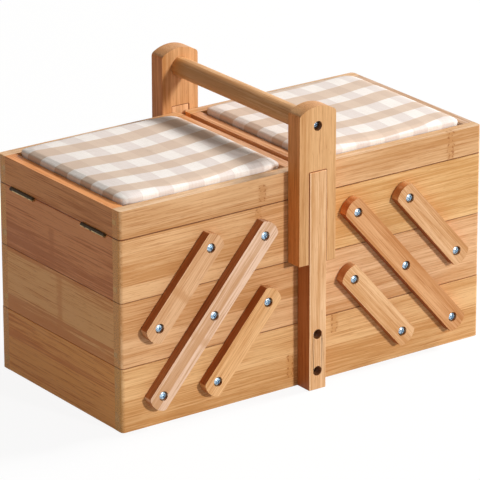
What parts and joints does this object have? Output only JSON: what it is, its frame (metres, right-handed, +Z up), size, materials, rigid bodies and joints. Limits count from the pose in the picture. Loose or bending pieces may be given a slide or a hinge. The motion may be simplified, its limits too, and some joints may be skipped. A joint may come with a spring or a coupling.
{
  "type": "cantilever sewing box",
  "caption": "Bamboo sewing carrier: trays on both sides swing out on parallel arms under padded hinged lids, with a rod handle between two posts.",
  "frame": {"origin": "centre of the underside, on the surface that the closed carrier stands on", "axes": "+X along the box towards the right-hand half, +Y from the front face to the back face, +Z up"},
  "size_m": [0.3548, 0.203, 0.235],
  "materials": {
    "bamboo_board": "satin clear-lacquered laminated bamboo, grain along the board",
    "bamboo_end": "satin clear-lacquered laminated bamboo end boards",
    "bamboo_panel": "satin thin bamboo panel",
    "bamboo_arm": "satin bamboo lath, grain along the arm",
    "bamboo_handle": "satin solid bamboo, grain upright or along the rod",
    "gingham_pad": "beige and white woven gingham over foam",
    "zinc_screw": "bright zinc-plated cross-recess screws",
    "brass_hinge": "antiqued brass butt hinges"
  },
  "bodies": {
    "carrier": {"base_front_board": "bamboo_board", "base_back_board": "bamboo_board", "base_left_board": "bamboo_end", "base_right_board": "bamboo_end", "base_floor": "bamboo_panel", "front_post": "bamboo_handle", "back_post": "bamboo_handle", "front_fork": "bamboo_handle", "back_fork": "bamboo_handle", "handle_rod": "bamboo_handle", "handle_screws": "zinc_screw", "base_pivot_screws": "zinc_screw"},
    "left_long_arms": {"left_long_arms": "bamboo_arm"},
    "left_lower_arms": {"left_lower_arms": "bamboo_arm"},
    "left_upper_arms": {"left_upper_arms": "bamboo_arm"},
    "left_middle_tray": {"left_middle_front_board": "bamboo_board", "left_middle_back_board": "bamboo_board", "left_middle_outer_board": "bamboo_end", "left_middle_inner_board": "bamboo_end", "left_middle_floor": "bamboo_panel", "left_middle_pivot_screws": "zinc_screw"},
    "left_top_tray": {"left_top_front_board": "bamboo_board", "left_top_back_board": "bamboo_board", "left_top_outer_board": "bamboo_end", "left_top_inner_board": "bamboo_end", "left_top_floor": "bamboo_panel", "left_top_pivot_screws": "zinc_screw", "left_tray_hinge_leaves": "brass_hinge", "left_hinge_pins": "brass_hinge"},
    "left_lid": {"left_lid_front_rail": "bamboo_board", "left_lid_back_rail": "bamboo_board", "left_lid_outer_rail": "bamboo_end", "left_lid_inner_rail": "bamboo_end", "left_lid_panel": "bamboo_panel", "left_lid_pad": "gingham_pad", "left_lid_hinge_leaves": "brass_hinge"},
    "right_long_arms": {"right_long_arms": "bamboo_arm"},
    "right_lower_arms": {"right_lower_arms": "bamboo_arm"},
    "right_upper_arms": {"right_upper_arms": "bamboo_arm"},
    "right_middle_tray": {"right_middle_front_board": "bamboo_board", "right_middle_back_board": "bamboo_board", "right_middle_outer_board": "bamboo_end", "right_middle_inner_board": "bamboo_end", "right_middle_floor": "bamboo_panel", "right_middle_pivot_screws": "zinc_screw"},
    "right_top_tray": {"right_top_front_board": "bamboo_board", "right_top_back_board": "bamboo_board", "right_top_outer_board": "bamboo_end", "right_top_inner_board": "bamboo_end", "right_top_floor": "bamboo_panel", "right_top_pivot_screws": "zinc_screw", "right_tray_hinge_leaves": "brass_hinge", "right_hinge_pins": "brass_hinge"},
    "right_lid": {"right_lid_front_rail": "bamboo_board", "right_lid_back_rail": "bamboo_board", "right_lid_outer_rail": "bamboo_end", "right_lid_inner_rail": "bamboo_end", "right_lid_panel": "bamboo_panel", "right_lid_pad": "gingham_pad", "right_lid_hinge_leaves": "brass_hinge"}
  },
  "joints": [
    {"name": "left_swing", "type": "hinge", "parent": "carrier", "child": "left_long_arms", "pos_m": [-0.142, 0, 0.026], "axis": [0, -1, 0], "range_deg": [0, 82.6]},
    {"name": "left_lower_arm_pivot", "type": "hinge", "parent": "carrier", "child": "left_lower_arms", "pos_m": [-0.0906, 0, 0.0255], "axis": [0, -1, 0], "range_deg": [0, 82.6]},
    {"name": "left_middle_tray_pivot", "type": "hinge", "parent": "left_long_arms", "child": "left_middle_tray", "pos_m": [-0.09359, 0, 0.0811], "axis": [0, -1, 0], "range_deg": [-82.6, 0]},
    {"name": "left_top_tray_pivot", "type": "hinge", "parent": "left_long_arms", "child": "left_top_tray", "pos_m": [-0.04519, 0, 0.1362], "axis": [0, -1, 0], "range_deg": [-82.6, 0]},
    {"name": "left_upper_arm_pivot", "type": "hinge", "parent": "left_middle_tray", "child": "left_upper_arms", "pos_m": [-0.14499, 0, 0.0824], "axis": [0, -1, 0], "range_deg": [0, 82.6]},
    {"name": "left_lid_hinge", "type": "hinge", "parent": "left_top_tray", "child": "left_lid", "pos_m": [-0.1758, 0, 0.1567], "axis": [0, -1, 0], "range_deg": [0, 180]},
    {"name": "right_swing", "type": "hinge", "parent": "carrier", "child": "right_long_arms", "pos_m": [0.142, 0, 0.026], "axis": [0, 1, 0], "range_deg": [0, 82.6]},
    {"name": "right_lower_arm_pivot", "type": "hinge", "parent": "carrier", "child": "right_lower_arms", "pos_m": [0.0906, 0, 0.0255], "axis": [0, 1, 0], "range_deg": [0, 82.6]},
    {"name": "right_middle_tray_pivot", "type": "hinge", "parent": "right_long_arms", "child": "right_middle_tray", "pos_m": [0.09359, 0, 0.0811], "axis": [0, 1, 0], "range_deg": [-82.6, 0]},
    {"name": "right_top_tray_pivot", "type": "hinge", "parent": "right_long_arms", "child": "right_top_tray", "pos_m": [0.04519, 0, 0.1362], "axis": [0, 1, 0], "range_deg": [-82.6, 0]},
    {"name": "right_upper_arm_pivot", "type": "hinge", "parent": "right_middle_tray", "child": "right_upper_arms", "pos_m": [0.14499, 0, 0.0824], "axis": [0, 1, 0], "range_deg": [0, 82.6]},
    {"name": "right_lid_hinge", "type": "hinge", "parent": "right_top_tray", "child": "right_lid", "pos_m": [0.1758, 0, 0.1567], "axis": [0, 1, 0], "range_deg": [0, 180]}
  ],
  "couplings": [
    {"joint": "left_lower_arm_pivot", "follows": "left_swing", "ratio": 1},
    {"joint": "left_middle_tray_pivot", "follows": "left_swing", "ratio": -1},
    {"joint": "left_top_tray_pivot", "follows": "left_swing", "ratio": -1},
    {"joint": "left_upper_arm_pivot", "follows": "left_swing", "ratio": 1},
    {"joint": "right_lower_arm_pivot", "follows": "right_swing", "ratio": 1},
    {"joint": "right_middle_tray_pivot", "follows": "right_swing", "ratio": -1},
    {"joint": "right_top_tray_pivot", "follows": "right_swing", "ratio": -1},
    {"joint": "right_upper_arm_pivot", "follows": "right_swing", "ratio": 1}
  ]
}
